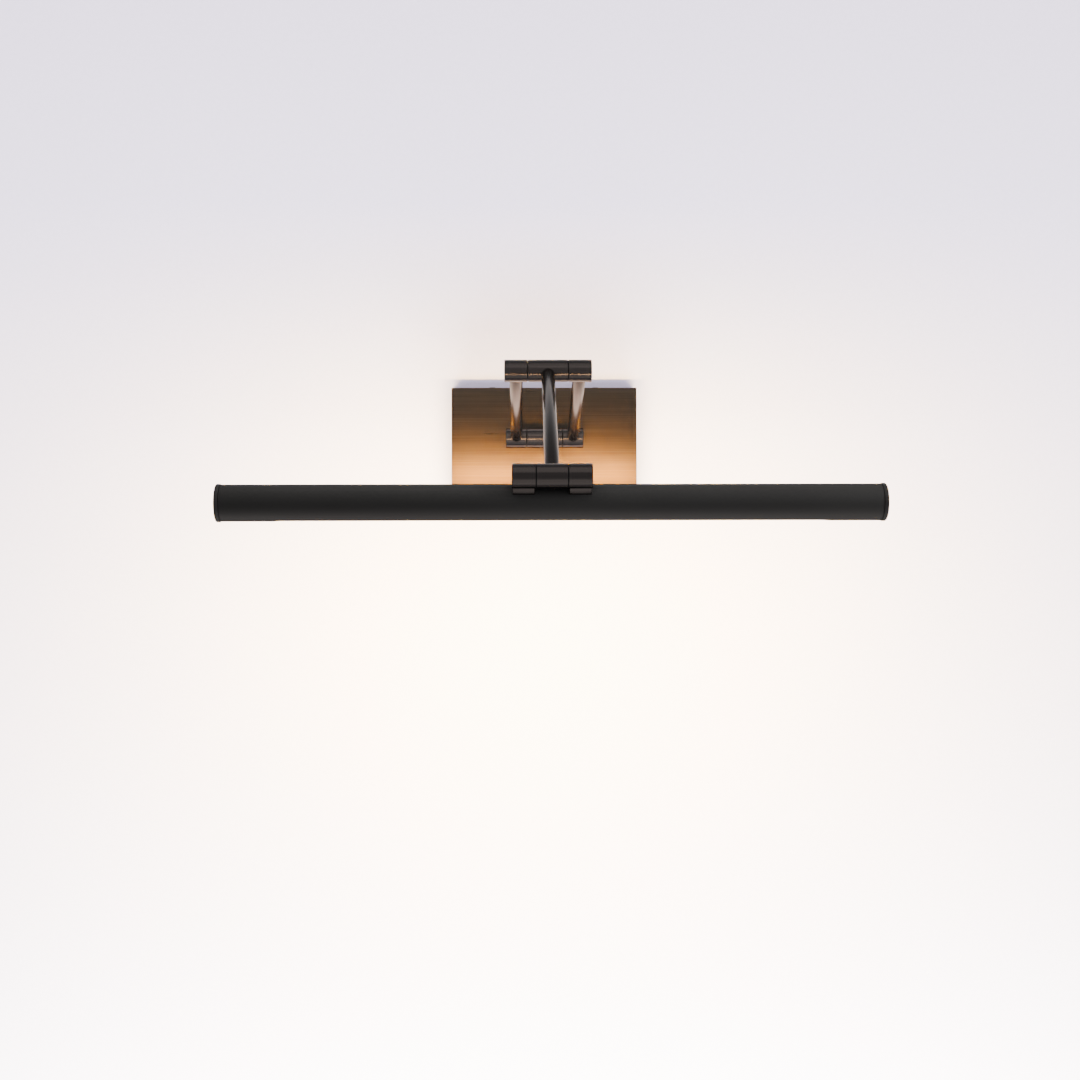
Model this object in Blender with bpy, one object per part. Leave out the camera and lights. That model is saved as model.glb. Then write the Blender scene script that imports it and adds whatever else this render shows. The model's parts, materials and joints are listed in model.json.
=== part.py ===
"""Picture light: a wall-mounted lamp tube on a folding two-part arm with three friction knuckles.

Metres, +Z up. The origin is on the wall plane (Y = 0) at the middle of the back plate, -Y points
into the room and X runs along the lamp tube. Each moving group hangs from an empty on its joint
axis. Inside the arm groups, local +Z runs along the arm; inside the lamp group, local +Z runs from
the tube's axis to the knuckle.
"""
import math

import bmesh
import bpy
from mathutils import Matrix, Vector

MM = 0.001
GAP = 0.3 * MM
OVERSHOOT = 1.0 * MM

# Back plate: a box-shaped cover over a steel bracket on the wall
COVER_WIDTH = 160 * MM
COVER_HEIGHT = 90 * MM
COVER_DEPTH = 25 * MM
COVER_WALL = 1.5 * MM
COVER_EDGE = 0.7 * MM
COVER_STANDS_OFF = 0.5 * MM
BRACKET_WIDTH = 112 * MM
BRACKET_THICKNESS = 2 * MM
TAB_WIDTH = 16 * MM
TAB_DEPTH = 16 * MM
SCREW_SPREAD = 45 * MM
WALL_SLOT_SPREAD = 47 * MM
WALL_SLOT_LENGTH = 14 * MM
WALL_SLOT_RADIUS = 2.5 * MM

# Small screws, and the holes they pass through
SCREW_SHANK = 1.5 * MM
SCREW_HOLE = SCREW_SHANK + GAP
HOLE_REACH = 3 * MM
COVER_SCREW_HEAD = 3.65 * MM
COVER_SCREW_RISE = 1.5 * MM
COVER_SCREW_LENGTH = 7 * MM

# Electrics behind the cover
DRIVER_LENGTH = 80 * MM
DRIVER_HEIGHT = 26 * MM
DRIVER_DEPTH = 16 * MM
DRIVER_Z = 27 * MM
DRIVER_WALL = 1.2 * MM
DRIVER_EAR = 9 * MM
DRIVER_EAR_HEIGHT = 12 * MM
DRIVER_EAR_THICKNESS = 2 * MM
DRIVER_LID_THICKNESS = 1.2 * MM
DRIVER_BOARD_THICKNESS = 1.6 * MM
DRIVER_BOARD_DEPTH = 4.5 * MM
DRIVER_COMPONENTS = ((-24, 16, 6.5), (0, 14, 8), (18, 9, 5))
DRIVER_COMPONENT_WIDTH = 14 * MM
DRIVER_LEAD_X = DRIVER_LENGTH / 2 - 18 * MM
CABLE_HOLE_RADIUS = 9 * MM
CABLE_Z = -25 * MM
TERMINAL_X = -34 * MM
TERMINAL_SIZE = Vector((26, 11, 12)) * MM
TERMINAL_SCREW_X = 6 * MM
TERMINAL_SCREW_RADIUS = 1.9 * MM
TERMINAL_SCREW_SINK = 1.5 * MM
EARTH_X = 34 * MM
EARTH_HOLE_RADIUS = 2.0 * MM
GROMMET_FLANGE = 2.5 * MM
GROMMET_FLANGE_THICKNESS = 2 * MM
SUPPLY_CABLE_RADIUS = 3.2 * MM
LEAD_RADIUS = 1.6 * MM

# Knuckles: three barrels in line on a pin along X
BARREL_RADIUS = 8.4 * MM
BARREL_EDGE = 0.5 * MM
BARREL_SEGMENTS = 32
SEAM = 1.0 * MM
PIN_RADIUS = 3 * MM
PIN_HEAD_RADIUS = 4.9 * MM
PIN_HEAD_HEIGHT = 2.2 * MM
PIN_RECESS = 0.3 * MM
WASHER_RADIUS = 7.8 * MM
WASHER_THICKNESS = 0.5 * MM
ARM_KNUCKLE_HALF = 32.9 * MM
ARM_KNUCKLE_SEAM = 15.2 * MM
LAMP_KNUCKLE_HALF = 26.9 * MM
LAMP_KNUCKLE_SEAM = 10.7 * MM

# Arms: round tube, set into shallow sockets in the barrels
ROD_RADIUS = 5 * MM
ROD_BORE = 3.8 * MM
ROD_X = 24 * MM
SOCKET_FLOOR = 5.6 * MM
ROD_START = SOCKET_FLOOR + GAP
CABLE_RADIUS = 2.3 * MM
WALL_AXIS_Y = -45 * MM
REAR_ARM_LENGTH = 161.5 * MM
REAR_ARM_RISE = math.radians(14.6)
FRONT_ARM_LENGTH = 164.3 * MM
FRONT_ARM_RISE = math.radians(-31.1)

# Post between the wall knuckle and the cover
POST_RADIUS = 6 * MM
POST_FLANGE_RADIUS = 7.6 * MM
POST_FLANGE = 2.5 * MM
POST_THREAD_RADIUS = 5 * MM
POST_THREAD_END_Y = -12 * MM
POST_CABLE_BORE = 2.4 * MM
NUT_RADIUS = 9 * MM
NUT_HEIGHT = 5 * MM
SPRING_WASHER = 1.6 * MM
BACKING_THICKNESS = 2 * MM
BACKING_SIZE = Vector((48, 0, 20)) * MM

# Lamp: tube with a window along its underside, facing away from the knuckle
LAMP_LENGTH = 451 * MM
TUBE_RADIUS = 12.5 * MM
TUBE_WALL = 1.5 * MM
TUBE_DROP = 23 * MM
LAMP_TILT = math.radians(41.3)
CAP_RADIUS = 12.9 * MM
CAP_THICKNESS = 3 * MM
CAP_PLUG_DEPTH = 5 * MM
CAP_PLUG_WALL = 1.5 * MM
CAP_RIM = 0.5 * MM
CAP_SCREW_RADIUS = 2.7 * MM
CAP_SCREW_HEAD = 1.0 * MM
CAP_SCREW_LENGTH = 14 * MM
CAP_RECESS_DEPTH = 1.5 * MM
SADDLE_HOLE_RADIUS = 1.9 * MM
SADDLE_SCREW_HEAD = 3 * MM
WINDOW_LENGTH = 384 * MM
WINDOW_WIDTH = 20 * MM
FOOT_HALF_WIDTH = 5.5 * MM
DIFFUSER_LENGTH = 400 * MM
DIFFUSER_THICKNESS = 1.5 * MM
DIFFUSER_HALF_ANGLE = math.radians(62)
CARRIER_LENGTH = 433 * MM
CARRIER_WIDTH = 15 * MM
CARRIER_BOTTOM = 2 * MM
CARRIER_TOP = 7 * MM
BOARD_LENGTH = 380 * MM
BOARD_WIDTH = 12 * MM
BOARD_THICKNESS = 1.6 * MM
LED_LENGTH = 372 * MM
LED_WIDTH = 4 * MM
LED_THICKNESS = 0.7 * MM
LEAD_HOLE_X = -60 * MM

COVER_FRONT_Y = -COVER_DEPTH
COVER_INNER_Y = COVER_FRONT_Y + COVER_WALL
BRACKET_FRONT_Y = -BRACKET_THICKNESS
BRACKET_HALF_HEIGHT = COVER_HEIGHT / 2 - COVER_WALL - GAP
TUBE_BORE = TUBE_RADIUS - TUBE_WALL
FOOT_X = (LAMP_KNUCKLE_HALF + LAMP_KNUCKLE_SEAM + SEAM / 2) / 2
CARRIER_MIDDLE = (CARRIER_BOTTOM + CARRIER_TOP) / 2
CARRIER_THICKNESS = CARRIER_TOP - CARRIER_BOTTOM
COVER_SCREW_Y = -(TAB_DEPTH / 2 + 1.5 * MM)

# Finish: base colour (linear), metallic, roughness
BRONZE = ("brushed_bronze", (0.45, 0.27, 0.14), 1.0, 0.35)
BLACK_NICKEL = ("black_nickel", (0.16, 0.15, 0.145), 1.0, 0.18)
SATIN_BLACK = ("satin_black", (0.022, 0.021, 0.020), 0.0, 0.45)
ZINC = ("zinc_steel", (0.55, 0.56, 0.58), 1.0, 0.38)
ALUMINIUM = ("aluminium", (0.75, 0.76, 0.77), 1.0, 0.35)
OPAL = ("opal_acrylic", (0.90, 0.86, 0.78), 0.0, 0.40)
WHITE_PLASTIC = ("white_plastic", (0.78, 0.78, 0.76), 0.0, 0.45)
BOARD_WHITE = ("board_white", (0.80, 0.81, 0.80), 0.0, 0.55)
BOARD_GREEN = ("board_green", (0.03, 0.16, 0.07), 0.0, 0.45)
PHOSPHOR = ("led_phosphor", (0.85, 0.62, 0.12), 0.0, 0.50)
RUBBER = ("black_rubber", (0.025, 0.025, 0.025), 0.0, 0.75)
NYLON = ("black_nylon", (0.03, 0.03, 0.03), 0.0, 0.55)
BRASS = ("brass", (0.62, 0.45, 0.16), 1.0, 0.30)

# Turns that carry a shape's own Z onto the named axis; -Y also flips a screw's head towards the room
TURN = {
    "X": Matrix.Rotation(math.pi / 2, 4, "Y"),
    "Y": Matrix.Rotation(-math.pi / 2, 4, "X"),
    "-Y": Matrix.Rotation(math.pi / 2, 4, "X"),
    "Z": Matrix(),
    "-Z": Matrix.Rotation(math.pi, 4, "X"),
    "upright Y": Matrix.Rotation(math.pi / 2, 4, "X") @ Matrix.Rotation(math.pi / 2, 4, "Z"),
}


def clear_scene():
    for item in list(bpy.data.objects):
        bpy.data.objects.remove(item)


def finish_material(finish):
    name, colour, metallic, roughness = finish
    material = bpy.data.materials.get(name)
    if material:
        return material
    material = bpy.data.materials.new(name)
    material.use_nodes = True
    shader = material.node_tree.nodes["Principled BSDF"]
    shader.inputs["Base Color"].default_value = (*colour, 1.0)
    shader.inputs["Metallic"].default_value = metallic
    shader.inputs["Roughness"].default_value = roughness
    return material


def joint_empty(name, location, tilt, parent=None):
    """An empty on a joint axis, turned about X by tilt relative to its parent."""
    empty = bpy.data.objects.new(name, None)
    bpy.context.collection.objects.link(empty)
    empty.location = location
    empty.rotation_euler.x = tilt
    empty.parent = parent
    return empty


def object_from(name, mesh_builder, finish, location=(0, 0, 0), tilt=0.0, parent=None):
    """Turn a bmesh into a placed, smooth-shaded object."""
    bmesh.ops.recalc_face_normals(mesh_builder, faces=mesh_builder.faces)
    mesh = bpy.data.meshes.new(name)
    mesh_builder.to_mesh(mesh)
    mesh_builder.free()
    mesh.shade_smooth()
    mesh.set_sharp_from_angle(angle=math.radians(35))
    mesh.materials.append(finish_material(finish))
    item = bpy.data.objects.new(name, mesh)
    bpy.context.collection.objects.link(item)
    item.location = location
    item.rotation_euler.x = tilt
    item.parent = parent
    return item


def boolean(target, operation, shape, location=(0, 0, 0), tilt=0.0):
    """Cut a shape from the target, or join it on; the shape sits in the target's own frame."""
    cutter = object_from(f"{target.name}_{operation.lower()}_{len(target.modifiers)}", shape, ZINC,
                         location, tilt, target)
    cutter.hide_render = True
    cutter.display_type = "WIRE"
    modifier = target.modifiers.new(cutter.name, "BOOLEAN")
    modifier.operation = operation
    modifier.object = cutter


def cut(target, shape, location=(0, 0, 0), tilt=0.0):
    boolean(target, "DIFFERENCE", shape, location, tilt)


def join(target, shape, location=(0, 0, 0), tilt=0.0):
    boolean(target, "UNION", shape, location, tilt)


def block(size, edge=0.0):
    """A box about its own centre, its edges rounded by edge."""
    shape = bmesh.new()
    bmesh.ops.create_cube(shape, size=1.0)
    bmesh.ops.scale(shape, vec=size, verts=shape.verts)
    if edge:
        bmesh.ops.bevel(shape, geom=shape.edges[:], offset=edge, segments=2, affect="EDGES", profile=0.5)
    return shape


def turned(profile, axis="Z", segments=32, ring=False):
    """Spin (radius, height) points about an axis; a ring profile closes on itself."""
    shape = bmesh.new()
    points = [shape.verts.new((radius, 0, height)) for radius, height in profile]
    edges = [shape.edges.new(pair) for pair in zip(points, points[1:])]
    if ring:
        edges.append(shape.edges.new((points[-1], points[0])))
    bmesh.ops.spin(shape, geom=points + edges, cent=(0, 0, 0), axis=(0, 0, 1), angle=math.tau,
                   steps=segments, use_merge=True)
    bmesh.ops.remove_doubles(shape, verts=shape.verts, dist=1e-6)
    bmesh.ops.transform(shape, matrix=TURN[axis], verts=shape.verts)
    return shape


def cylinder(radius, low, high, axis="Z", segments=24, edge=0.0):
    """A cylinder between two heights, its rims chamfered by edge."""
    if edge:
        profile = [(0, low), (radius - edge, low), (radius, low + edge), (radius, high - edge),
                   (radius - edge, high), (0, high)]
    else:
        profile = [(0, low), (radius, low), (radius, high), (0, high)]
    return turned(profile, axis, segments)


def ring(outer, inner, low, high, axis="Z", segments=32):
    return turned([(inner, low), (outer, low), (outer, high), (inner, high)], axis, segments, ring=True)


def slot(length, radius, thickness, axis="Z", steps=12):
    """A prism with straight sides and round ends, centred, with its length along local X."""
    shape = bmesh.new()
    half = length / 2 - radius
    outline = []
    for side in (1, -1):
        for step in range(steps + 1):
            angle = math.pi * step / steps - side * math.pi / 2
            outline.append((side * half + radius * math.cos(angle), radius * math.sin(angle)))
    base = [shape.verts.new((x, y, -thickness / 2)) for x, y in outline]
    face = shape.faces.new(base)
    lifted = bmesh.ops.extrude_face_region(shape, geom=[face])
    moved = [item for item in lifted["geom"] if isinstance(item, bmesh.types.BMVert)]
    bmesh.ops.translate(shape, vec=(0, 0, thickness), verts=moved)
    bmesh.ops.transform(shape, matrix=TURN[axis], verts=shape.verts)
    return shape


def rounded_path(corners, radius, steps=8):
    """Points along straight legs whose corners are replaced by arcs."""
    points = [Vector(corners[0])]
    for before, corner, after in zip(corners, corners[1:], corners[2:]):
        corner = Vector(corner)
        back = (Vector(before) - corner).normalized()
        ahead = (Vector(after) - corner).normalized()
        half_turn = (math.pi - back.angle(ahead)) / 2
        centre = corner + (back + ahead).normalized() * radius / math.cos(half_turn)
        start = corner + back * radius * math.tan(half_turn) - centre
        turn_axis = start.cross(corner + ahead * radius * math.tan(half_turn) - centre).normalized()
        for step in range(steps + 1):
            spin = Matrix.Rotation(2 * half_turn * step / steps, 3, turn_axis)
            points.append(centre + spin @ start)
    points.append(Vector(corners[-1]))
    return points


def pipe(path, radius, segments=24):
    """A solid round bar along a path."""
    shape = bmesh.new()
    count = len(path)
    tangents = [(path[min(i + 1, count - 1)] - path[max(i - 1, 0)]).normalized() for i in range(count)]
    side = tangents[0].orthogonal().normalized()
    loops = []
    for i, (point, tangent) in enumerate(zip(path, tangents)):
        if i:
            side = tangents[i - 1].rotation_difference(tangent) @ side
        up = tangent.cross(side)
        loop = []
        for k in range(segments):
            angle = math.tau * k / segments
            across = side * math.cos(angle) + up * math.sin(angle)
            loop.append(shape.verts.new(point + across * radius))
        loops.append(loop)
    for first, second in zip(loops, loops[1:]):
        for k in range(segments):
            following = (k + 1) % segments
            shape.faces.new((first[k], first[following], second[following], second[k]))
    shape.faces.new(loops[0])
    shape.faces.new(loops[-1])
    return shape


def headed_screw(head_radius, head_height, shank_radius, shank_length, axis="Z", segments=16):
    """A screw whose head sits above its seat at height 0 and whose shank goes down."""
    crown = head_height * 0.35
    profile = [(0, -shank_length), (shank_radius, -shank_length), (shank_radius, 0), (head_radius, 0),
               (head_radius, head_height - crown), (head_radius - crown, head_height), (0, head_height)]
    return turned(profile, axis, segments)


# ---------------------------------------------------------------- wall base

def wall_bracket():
    """Steel plate on the wall, with four tabs that the cover screws reach."""
    middle_y = -BRACKET_THICKNESS / 2
    tab_y = -TAB_DEPTH / 2 - middle_y
    size = (BRACKET_WIDTH, BRACKET_THICKNESS, 2 * BRACKET_HALF_HEIGHT)
    plate = object_from("wall_bracket", block(size), ZINC, (0, middle_y, 0))
    for side in (-1, 1):
        for end in (-1, 1):
            tab_z = end * (BRACKET_HALF_HEIGHT - BRACKET_THICKNESS / 2)
            tab = block((TAB_WIDTH, TAB_DEPTH, BRACKET_THICKNESS))
            join(plate, tab, (side * SCREW_SPREAD, tab_y, tab_z))
            cut(plate, cylinder(SCREW_HOLE, -HOLE_REACH, HOLE_REACH, segments=12),
                (side * SCREW_SPREAD, COVER_SCREW_Y - middle_y, tab_z))
        wall_slot = slot(WALL_SLOT_LENGTH, WALL_SLOT_RADIUS, 2 * HOLE_REACH, "upright Y", steps=6)
        cut(plate, wall_slot, (side * WALL_SLOT_SPREAD, 0, 0))
        ear_x = side * (DRIVER_LENGTH + DRIVER_EAR) / 2
        cut(plate, cylinder(SCREW_HOLE, -HOLE_REACH, HOLE_REACH, "Y", 12), (ear_x, 0, DRIVER_Z))
    cut(plate, cylinder(CABLE_HOLE_RADIUS, -HOLE_REACH, HOLE_REACH, "Y", 24), (0, 0, CABLE_Z))
    cut(plate, cylinder(EARTH_HOLE_RADIUS, -HOLE_REACH, HOLE_REACH, "Y", 16), (EARTH_X, 0, CABLE_Z))


def back_cover():
    """Box-shaped cover, open towards the wall, and its four screws."""
    depth = COVER_DEPTH - COVER_STANDS_OFF
    centre_y = COVER_FRONT_Y + depth / 2
    outside = block((COVER_WIDTH, depth, COVER_HEIGHT), COVER_EDGE)
    cover = object_from("back_cover", outside, BRONZE, (0, centre_y, 0))
    hollow = (COVER_WIDTH - 2 * COVER_WALL, depth, COVER_HEIGHT - 2 * COVER_WALL)
    cut(cover, block(hollow), (0, COVER_WALL, 0))
    cut(cover, cylinder(POST_THREAD_RADIUS + GAP, -HOLE_REACH, HOLE_REACH, "Y", 24),
        (0, COVER_INNER_Y - centre_y, 0))
    for side, hand in ((-1, "left"), (1, "right")):
        for end, level, axis in ((-1, "bottom", "-Z"), (1, "top", "Z")):
            cut(cover, cylinder(SCREW_HOLE, -HOLE_REACH, HOLE_REACH, segments=12),
                (side * SCREW_SPREAD, COVER_SCREW_Y - centre_y, end * COVER_HEIGHT / 2))
            screw = headed_screw(COVER_SCREW_HEAD, COVER_SCREW_RISE, SCREW_SHANK, COVER_SCREW_LENGTH, axis)
            object_from(f"cover_screw_{level}_{hand}", screw, BLACK_NICKEL,
                        (side * SCREW_SPREAD, COVER_SCREW_Y, end * (COVER_HEIGHT / 2 + GAP)))


def wall_knuckle_post():
    """Middle barrel of the wall knuckle on its threaded post, with the parts that clamp it."""
    middle = knuckle_middle("wall_knuckle_middle", ARM_KNUCKLE_SEAM, (0, WALL_AXIS_Y, 0), None)
    seat = COVER_FRONT_Y - GAP - WALL_AXIS_Y
    thread_end = POST_THREAD_END_Y - WALL_AXIS_Y
    root = PIN_RADIUS + 1.5 * MM
    post = [(0, root), (POST_RADIUS, root), (POST_RADIUS, seat - POST_FLANGE),
            (POST_FLANGE_RADIUS, seat - POST_FLANGE), (POST_FLANGE_RADIUS, seat),
            (POST_THREAD_RADIUS, seat), (POST_THREAD_RADIUS, thread_end), (0, thread_end)]
    join(middle, turned(post, "Y", 24))
    cut(middle, cylinder(POST_CABLE_BORE, root + OVERSHOOT, thread_end + OVERSHOOT, "Y", 12))

    clearance = POST_THREAD_RADIUS + GAP
    backing_y = COVER_INNER_Y + GAP
    backing = object_from("post_backing_plate", block((BACKING_SIZE.x, BACKING_THICKNESS, BACKING_SIZE.z)),
                          ZINC, (0, backing_y + BACKING_THICKNESS / 2, 0))
    cut(backing, cylinder(clearance, -HOLE_REACH, HOLE_REACH, "Y", 28))
    washer_y = backing_y + BACKING_THICKNESS + GAP
    washer = ring(NUT_RADIUS, clearance, 0, SPRING_WASHER, "Y", 28)
    object_from("post_washer", washer, ZINC, (0, washer_y, 0))
    nut_y = washer_y + SPRING_WASHER + GAP
    nut = object_from("post_nut", cylinder(NUT_RADIUS, 0, NUT_HEIGHT, "Y", 6, 0.4 * MM), BRASS, (0, nut_y, 0))
    cut(nut, cylinder(clearance, -OVERSHOOT, NUT_HEIGHT + OVERSHOOT, "Y", 28))


def led_driver():
    """Driver case screwed to the bracket, with its board, its lid and the lead to the post."""
    back_y = BRACKET_FRONT_Y - GAP
    ear_y = DRIVER_DEPTH / 2 - DRIVER_EAR_THICKNESS / 2
    case = object_from("driver_case", block((DRIVER_LENGTH, DRIVER_DEPTH, DRIVER_HEIGHT), 0.5 * MM),
                       WHITE_PLASTIC, (0, back_y - DRIVER_DEPTH / 2, DRIVER_Z))
    ears = block((DRIVER_LENGTH + 2 * DRIVER_EAR, DRIVER_EAR_THICKNESS, DRIVER_EAR_HEIGHT))
    join(case, ears, (0, ear_y, 0))
    inner_length = DRIVER_LENGTH - 2 * DRIVER_WALL
    inner_height = DRIVER_HEIGHT - 2 * DRIVER_WALL
    cut(case, block((inner_length, DRIVER_DEPTH, inner_height)), (0, -2 * MM, 0))
    cut(case, cylinder(LEAD_RADIUS + 2 * GAP, -HOLE_REACH, HOLE_REACH, segments=16),
        (DRIVER_LEAD_X, 0, -DRIVER_HEIGHT / 2))
    for side, hand in ((-1, "left"), (1, "right")):
        ear_x = side * (DRIVER_LENGTH + DRIVER_EAR) / 2
        cut(case, cylinder(SCREW_HOLE, -HOLE_REACH, HOLE_REACH, "Y", 12), (ear_x, ear_y, 0))
        screw = headed_screw(2.8 * MM, 1.8 * MM, SCREW_SHANK, 3.6 * MM, "-Y")
        object_from(f"driver_screw_{hand}", screw, ZINC,
                    (ear_x, back_y - DRIVER_EAR_THICKNESS - GAP, DRIVER_Z))
    board_size = (inner_length - 2 * GAP, DRIVER_BOARD_THICKNESS, inner_height - 2 * GAP)
    board = object_from("driver_board", block(board_size), BOARD_GREEN,
                        (0, back_y - DRIVER_BOARD_DEPTH, DRIVER_Z))
    for x, length, rise in DRIVER_COMPONENTS:
        component = block((length * MM, rise * MM, DRIVER_COMPONENT_WIDTH), 0.4 * MM)
        join(board, component, (x * MM, -rise / 2 * MM, 0))
    lid_size = (inner_length - 2 * GAP, DRIVER_LID_THICKNESS, inner_height - 2 * GAP)
    object_from("driver_lid", block(lid_size, 0.3 * MM), WHITE_PLASTIC,
                (0, back_y - DRIVER_DEPTH + DRIVER_LID_THICKNESS / 2, DRIVER_Z))
    lead_y = POST_THREAD_END_Y + LEAD_RADIUS + 2 * GAP
    case_bottom = DRIVER_Z - DRIVER_HEIGHT / 2 + 0.6 * MM
    corners = [(DRIVER_LEAD_X, lead_y, case_bottom), (DRIVER_LEAD_X, lead_y, 0), (0, lead_y, 0),
               (0, POST_THREAD_END_Y - 14 * MM, 0)]
    lead = pipe(rounded_path(corners, 1.9 * MM, 4), LEAD_RADIUS, segments=10)
    object_from("driver_output_lead", lead, NYLON)


def mains_terminals():
    """Terminal block, earth screw, grommet and the end of the supply cable."""
    back_y = BRACKET_FRONT_Y - GAP
    front = -TERMINAL_SIZE.y / 2
    centre = Vector((TERMINAL_X, back_y + front, CABLE_Z))
    terminal = object_from("terminal_block", block(TERMINAL_SIZE, 0.6 * MM), WHITE_PLASTIC, centre)
    for name, x in (("live", -TERMINAL_SCREW_X), ("neutral", TERMINAL_SCREW_X)):
        cut(terminal, cylinder(TERMINAL_SCREW_RADIUS + GAP, -4 * MM, 2 * MM, "Y", 16), (x, front, 0))
        screw = cylinder(TERMINAL_SCREW_RADIUS, -2.5 * MM, 0, "Y", 16, 0.2 * MM)
        object_from(f"terminal_screw_{name}", screw, BRASS,
                    centre + Vector((x, front + TERMINAL_SCREW_SINK, 0)))
    earth = headed_screw(3.5 * MM, 2 * MM, EARTH_HOLE_RADIUS - GAP, 1.8 * MM, "-Y")
    object_from("earth_screw", earth, BRASS, (EARTH_X, back_y, CABLE_Z))
    sleeve = CABLE_HOLE_RADIUS - GAP
    bore = SUPPLY_CABLE_RADIUS + 1.0 * MM
    flange_y = back_y - GROMMET_FLANGE_THICKNESS
    profile = [(bore, -GAP), (sleeve, -GAP), (sleeve, back_y), (sleeve + GROMMET_FLANGE, back_y),
               (sleeve + GROMMET_FLANGE, flange_y), (bore, flange_y)]
    object_from("cable_grommet", turned(profile, "Y", 28, ring=True), RUBBER, (0, 0, CABLE_Z))
    cable_end_x = TERMINAL_X + TERMINAL_SIZE.x / 2 + 2 * GAP
    corners = [(0, -0.5 * MM, CABLE_Z), (0, centre.y, CABLE_Z), (cable_end_x, centre.y, CABLE_Z)]
    cable = pipe(rounded_path(corners, 3.6 * MM, 6), SUPPLY_CABLE_RADIUS, segments=16)
    object_from("supply_cable", cable, NYLON)


# ---------------------------------------------------------------- knuckles

def barrel_profile(low, high):
    """Closed section of a barrel between two heights, bored for the pin, its rims chamfered."""
    bore = PIN_RADIUS + GAP
    return [(bore, low), (BARREL_RADIUS - BARREL_EDGE, low), (BARREL_RADIUS, low + BARREL_EDGE),
            (BARREL_RADIUS, high - BARREL_EDGE), (BARREL_RADIUS - BARREL_EDGE, high), (bore, high)]


def knuckle_middle(name, seam, location, parent):
    half = seam - SEAM / 2
    barrel = turned(barrel_profile(-half, half), "X", BARREL_SEGMENTS, ring=True)
    return object_from(name, barrel, BLACK_NICKEL, location, parent=parent)


def knuckle_outer(name, side, half, seam, location, parent):
    """Outer barrel with a recess in its outer end for the pin's head or nut."""
    recess_radius = PIN_HEAD_RADIUS + GAP
    recess_floor = half - PIN_HEAD_HEIGHT - PIN_RECESS - GAP
    profile = barrel_profile(seam + SEAM / 2, half)
    profile[-1] = (recess_radius, half)
    profile += [(recess_radius, recess_floor), (PIN_RADIUS + GAP, recess_floor)]
    mirrored = [(radius, side * height) for radius, height in profile]
    barrel = turned(mirrored, "X", BARREL_SEGMENTS, ring=True)
    return object_from(name, barrel, BLACK_NICKEL, location, parent=parent)


def socket(barrel, x, tilt):
    """Shallow flat-bottomed seat for a rod, turned about X from the barrel's own +Z."""
    seat = cylinder(ROD_RADIUS + GAP, SOCKET_FLOOR, 2 * BARREL_RADIUS, segments=24)
    cut(barrel, seat, (x, 0, 0), tilt)


def pin_set(prefix, half, seam, location, parent):
    """Hinge pin with a socket head, its nut, and the friction washers between the barrels."""
    head = half - PIN_RECESS
    seat = head - PIN_HEAD_HEIGHT
    tip = 0.4 * MM
    profile = [(0, -head), (PIN_HEAD_RADIUS, -head), (PIN_HEAD_RADIUS, -seat), (PIN_RADIUS, -seat),
               (PIN_RADIUS, head - tip), (PIN_RADIUS - tip, head), (0, head)]
    pin = object_from(f"{prefix}_hinge_pin", turned(profile, "X", 20), BLACK_NICKEL, location, parent=parent)
    cut(pin, cylinder(2 * MM, -head - OVERSHOOT, -head + 1.4 * MM, "X", 6))
    bore = PIN_RADIUS + GAP
    nut = ring(PIN_HEAD_RADIUS, bore, seat, head, "X", 20)
    object_from(f"{prefix}_pin_nut", nut, BLACK_NICKEL, location, parent=parent)
    for side, hand in ((-1, "left"), (1, "right")):
        low = side * seam - WASHER_THICKNESS / 2
        washer = ring(WASHER_RADIUS, bore, low, low + WASHER_THICKNESS, "X", 20)
        object_from(f"{prefix}_washer_{hand}", washer, NYLON, location, parent=parent)


# ---------------------------------------------------------------- arms

def rear_arm(wall_axis):
    """Twin rods between the outer barrels of the wall knuckle and of the elbow knuckle."""
    elbow = (0, 0, REAR_ARM_LENGTH)
    ends = (ROD_START, REAR_ARM_LENGTH - ROD_START)
    for side, hand in ((-1, "left"), (1, "right")):
        lower = knuckle_outer(f"wall_knuckle_{hand}", side, ARM_KNUCKLE_HALF, ARM_KNUCKLE_SEAM,
                              (0, 0, 0), wall_axis)
        socket(lower, side * ROD_X, 0.0)
        upper = knuckle_outer(f"elbow_knuckle_{hand}", side, ARM_KNUCKLE_HALF, ARM_KNUCKLE_SEAM,
                              elbow, wall_axis)
        socket(upper, side * ROD_X, math.pi)
        rod = ring(ROD_RADIUS, ROD_BORE, *ends, segments=28)
        object_from(f"rear_arm_{hand}", rod, BLACK_NICKEL, (side * ROD_X, 0, 0), parent=wall_axis)
    cable = cylinder(CABLE_RADIUS, *ends, segments=16)
    object_from("rear_arm_cable", cable, NYLON, (-ROD_X, 0, 0), parent=wall_axis)
    pin_set("wall", ARM_KNUCKLE_HALF, ARM_KNUCKLE_SEAM, (0, 0, 0), wall_axis)
    pin_set("elbow", ARM_KNUCKLE_HALF, ARM_KNUCKLE_SEAM, elbow, wall_axis)


def front_arm(elbow_axis):
    """Single rod between the middle barrels of the elbow knuckle and of the lamp knuckle."""
    ends = (ROD_START, FRONT_ARM_LENGTH - ROD_START)
    middle = knuckle_middle("elbow_knuckle_middle", ARM_KNUCKLE_SEAM, (0, 0, 0), elbow_axis)
    socket(middle, 0, 0.0)
    far_end = (0, 0, FRONT_ARM_LENGTH)
    lower = knuckle_middle("lamp_knuckle_middle", LAMP_KNUCKLE_SEAM, far_end, elbow_axis)
    socket(lower, 0, math.pi)
    rod = ring(ROD_RADIUS, ROD_BORE, *ends, segments=28)
    object_from("front_arm", rod, BLACK_NICKEL, parent=elbow_axis)
    cable = cylinder(CABLE_RADIUS, *ends, segments=16)
    object_from("front_arm_cable", cable, NYLON, parent=elbow_axis)


# ---------------------------------------------------------------- lamp

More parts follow.
